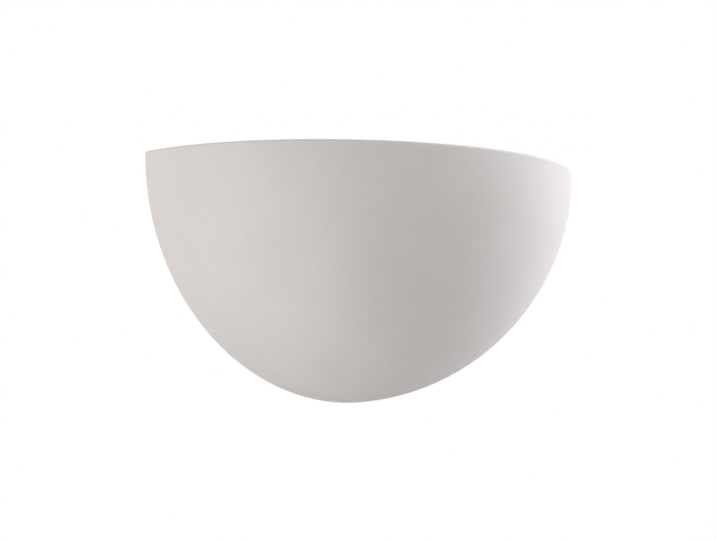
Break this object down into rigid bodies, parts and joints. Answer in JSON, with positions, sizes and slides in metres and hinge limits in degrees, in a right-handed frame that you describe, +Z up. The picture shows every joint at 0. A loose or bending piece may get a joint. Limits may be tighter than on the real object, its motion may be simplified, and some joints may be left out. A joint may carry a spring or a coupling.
{
  "type": "uplighter wall sconce",
  "caption": "Quarter-sphere ceramic bowl open at the top, hung by keyholes on a steel wall plate, with a screw lamp lying sideways inside to light the wall and ceiling.",
  "frame": {"origin": "midway between the two wall-screw slots, on the face of the wall plate that meets the wall", "axes": "+X to the right seen from the room, +Y into the wall, +Z up"},
  "size_m": [0.3, 0.15, 0.15],
  "materials": {
    "bisque_ceramic": "unglazed, matt, lightly grained",
    "zinc_plated_sheet": "zinc plated, satin",
    "zinc_plated_fastener": "zinc plated, bright",
    "nickel_plated_brass": "nickel plated, knurled",
    "brass": "bare, slightly dulled",
    "black_rubber": "matt",
    "black_phenolic": "moulded, satin gloss",
    "white_steatite": "fired, satin",
    "natural_nylon": "translucent moulding",
    "tinned_copper": "tin plated",
    "brown_insulation": "smooth extruded",
    "blue_insulation": "smooth extruded",
    "green_yellow_insulation": "smooth extruded, striped",
    "lamp_metal": "nickel plated aluminium",
    "black_insulator": "fused, glossy",
    "white_lamp_plastic": "moulded, satin",
    "opal_globe": "frosted, light diffusing",
    "circuit_board": "white solder mask",
    "phosphor_chip": "yellow phosphor"
  },
  "bodies": {
    "wall_bracket": {"wall_plate": "zinc_plated_sheet", "cable_bush": "black_rubber", "bowl_studs": "zinc_plated_fastener", "stud_locknuts": "zinc_plated_fastener", "holder_arm": "zinc_plated_sheet", "arm_screws": "zinc_plated_fastener", "holder_nipple": "zinc_plated_fastener", "nipple_washer": "zinc_plated_fastener", "nipple_nut": "zinc_plated_fastener", "holder_cap": "black_phenolic", "holder_shell": "black_phenolic", "holder_core": "white_steatite", "holder_screw_shell": "brass", "holder_centre_contact": "brass", "holder_terminals": "brass", "holder_terminal_screws": "zinc_plated_fastener", "terminal_block": "natural_nylon", "terminal_tubes": "brass", "terminal_screws": "zinc_plated_fastener", "block_screws": "zinc_plated_fastener", "earth_screw": "brass", "earth_washer": "zinc_plated_fastener", "earth_ring_tag": "tinned_copper", "lead_clip": "natural_nylon", "live_lead": "brown_insulation", "neutral_lead": "blue_insulation", "earth_lead": "green_yellow_insulation"},
    "bowl": {"ceramic_bowl": "bisque_ceramic"},
    "left_washer": {"left_washer": "zinc_plated_fastener"},
    "left_nut": {"left_knurled_nut": "nickel_plated_brass"},
    "right_washer": {"right_washer": "zinc_plated_fastener"},
    "right_nut": {"right_knurled_nut": "nickel_plated_brass"},
    "lamp_contact": {"lamp_contact": "lamp_metal"},
    "lamp": {"lamp_cap_insulator": "black_insulator", "lamp_screw_cap": "lamp_metal", "lamp_collar": "white_lamp_plastic", "lamp_driver_board": "circuit_board", "lamp_led_board": "circuit_board", "lamp_leds": "phosphor_chip", "lamp_globe": "opal_globe"}
  },
  "joints": [
    {"name": "bowl_lift", "type": "slide", "parent": "wall_bracket", "child": "bowl", "axis": [0, 0, 1], "range_m": [0, 0.012]},
    {"name": "left_washer_slide", "type": "slide", "parent": "wall_bracket", "child": "left_washer", "axis": [0, -1, 0], "range_m": [0, 0.0105]},
    {"name": "left_nut_turn", "type": "hinge", "parent": "left_washer", "child": "left_nut", "pos_m": [-0.106, -0.0216, 0], "axis": [0, -1, 0], "range_deg": [0, 5400]},
    {"name": "right_washer_slide", "type": "slide", "parent": "wall_bracket", "child": "right_washer", "axis": [0, -1, 0], "range_m": [0, 0.0105]},
    {"name": "right_nut_turn", "type": "hinge", "parent": "right_washer", "child": "right_nut", "pos_m": [0.106, -0.0216, 0], "axis": [0, -1, 0], "range_deg": [0, 5400]},
    {"name": "lamp_contact_slide", "type": "slide", "parent": "wall_bracket", "child": "lamp_contact", "axis": [1, 0, 0], "range_m": [0, 0.01815]},
    {"name": "lamp_turn", "type": "hinge", "parent": "lamp_contact", "child": "lamp", "pos_m": [-0.039, -0.062, 0.007], "axis": [1, 0, 0], "range_deg": [0, 1800]}
  ],
  "couplings": [
    {"joint": "left_washer_slide", "follows": "left_nut_turn", "m_per_rad": 0.00011141},
    {"joint": "right_washer_slide", "follows": "right_nut_turn", "m_per_rad": 0.00011141},
    {"joint": "lamp_contact_slide", "follows": "lamp_turn", "m_per_rad": 0.00057757}
  ]
}
